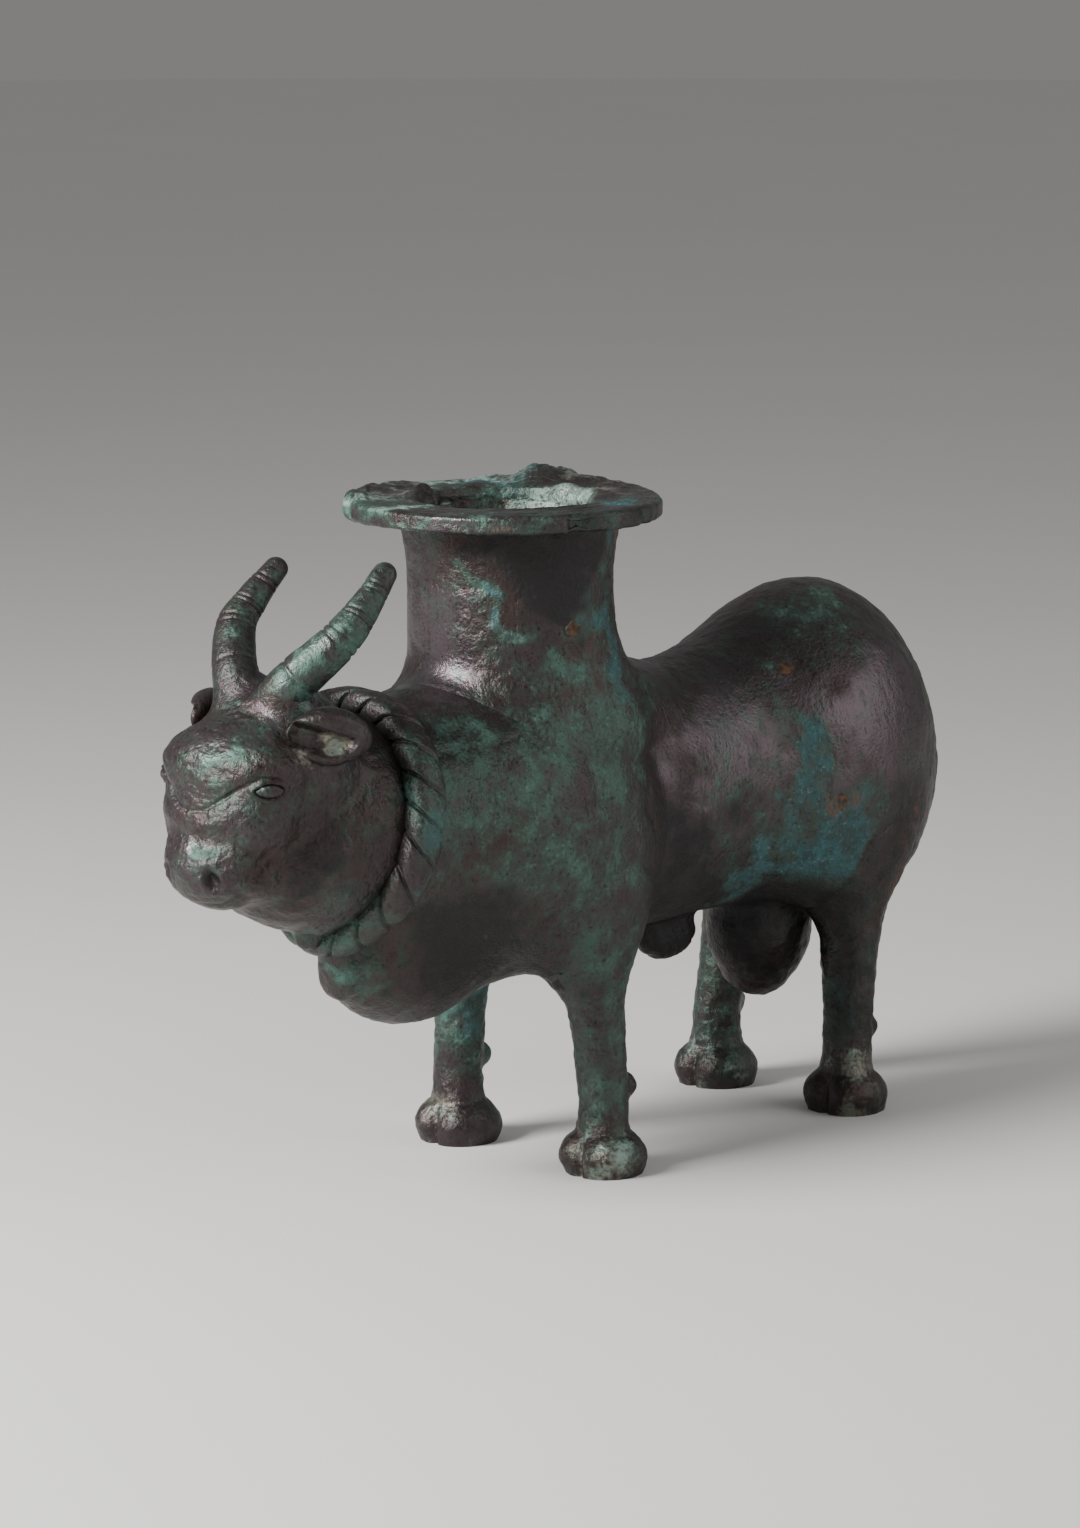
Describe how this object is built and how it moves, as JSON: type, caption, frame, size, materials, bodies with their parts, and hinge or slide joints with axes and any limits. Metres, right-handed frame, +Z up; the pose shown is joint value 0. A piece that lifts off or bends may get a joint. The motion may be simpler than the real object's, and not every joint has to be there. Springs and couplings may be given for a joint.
{
  "type": "bull-shaped bronze vessel",
  "caption": "Hollow cast bronze vessel in the form of a standing zebu bull, with a wide flanged spout on the hump, ringed horns and a twisted rope collar.",
  "frame": {"origin": "on the floor, under the middle of the whole vessel's box", "axes": "+Z up, the bull faces -Y, +X is its left side"},
  "size_m": [0.1, 0.3238, 0.2195],
  "materials": {
    "bronze_brown": "dark purple-brown patina with a soft metallic sheen",
    "bronze_green": "green and teal patina, rough in places",
    "bronze_dark": "black-brown patina with teal patches",
    "rusted_iron": "orange-brown rust"
  },
  "bodies": {
    "root": {"body_shell": "bronze_brown", "spout": "bronze_dark", "rim": "bronze_green", "head": "bronze_brown", "collar": "bronze_green", "dewlap": "bronze_dark", "tail": "bronze_brown", "scrotum": "bronze_dark", "sheath": "bronze_dark", "horn_left": "bronze_green", "horn_right": "bronze_green", "ear_left": "bronze_brown", "ear_right": "bronze_brown", "eye_left": "bronze_dark", "eye_right": "bronze_dark", "leg_front_left": "bronze_green", "leg_front_right": "bronze_green", "leg_rear_left": "bronze_green", "leg_rear_right": "bronze_green", "core_pin_flank_left": "rusted_iron", "core_pin_flank_right": "rusted_iron", "core_pin_saddle_left": "rusted_iron", "core_pin_saddle_right": "rusted_iron", "core_pin_spout_left": "rusted_iron", "core_pin_spout_right": "rusted_iron"}
  },
  "joints": []
}
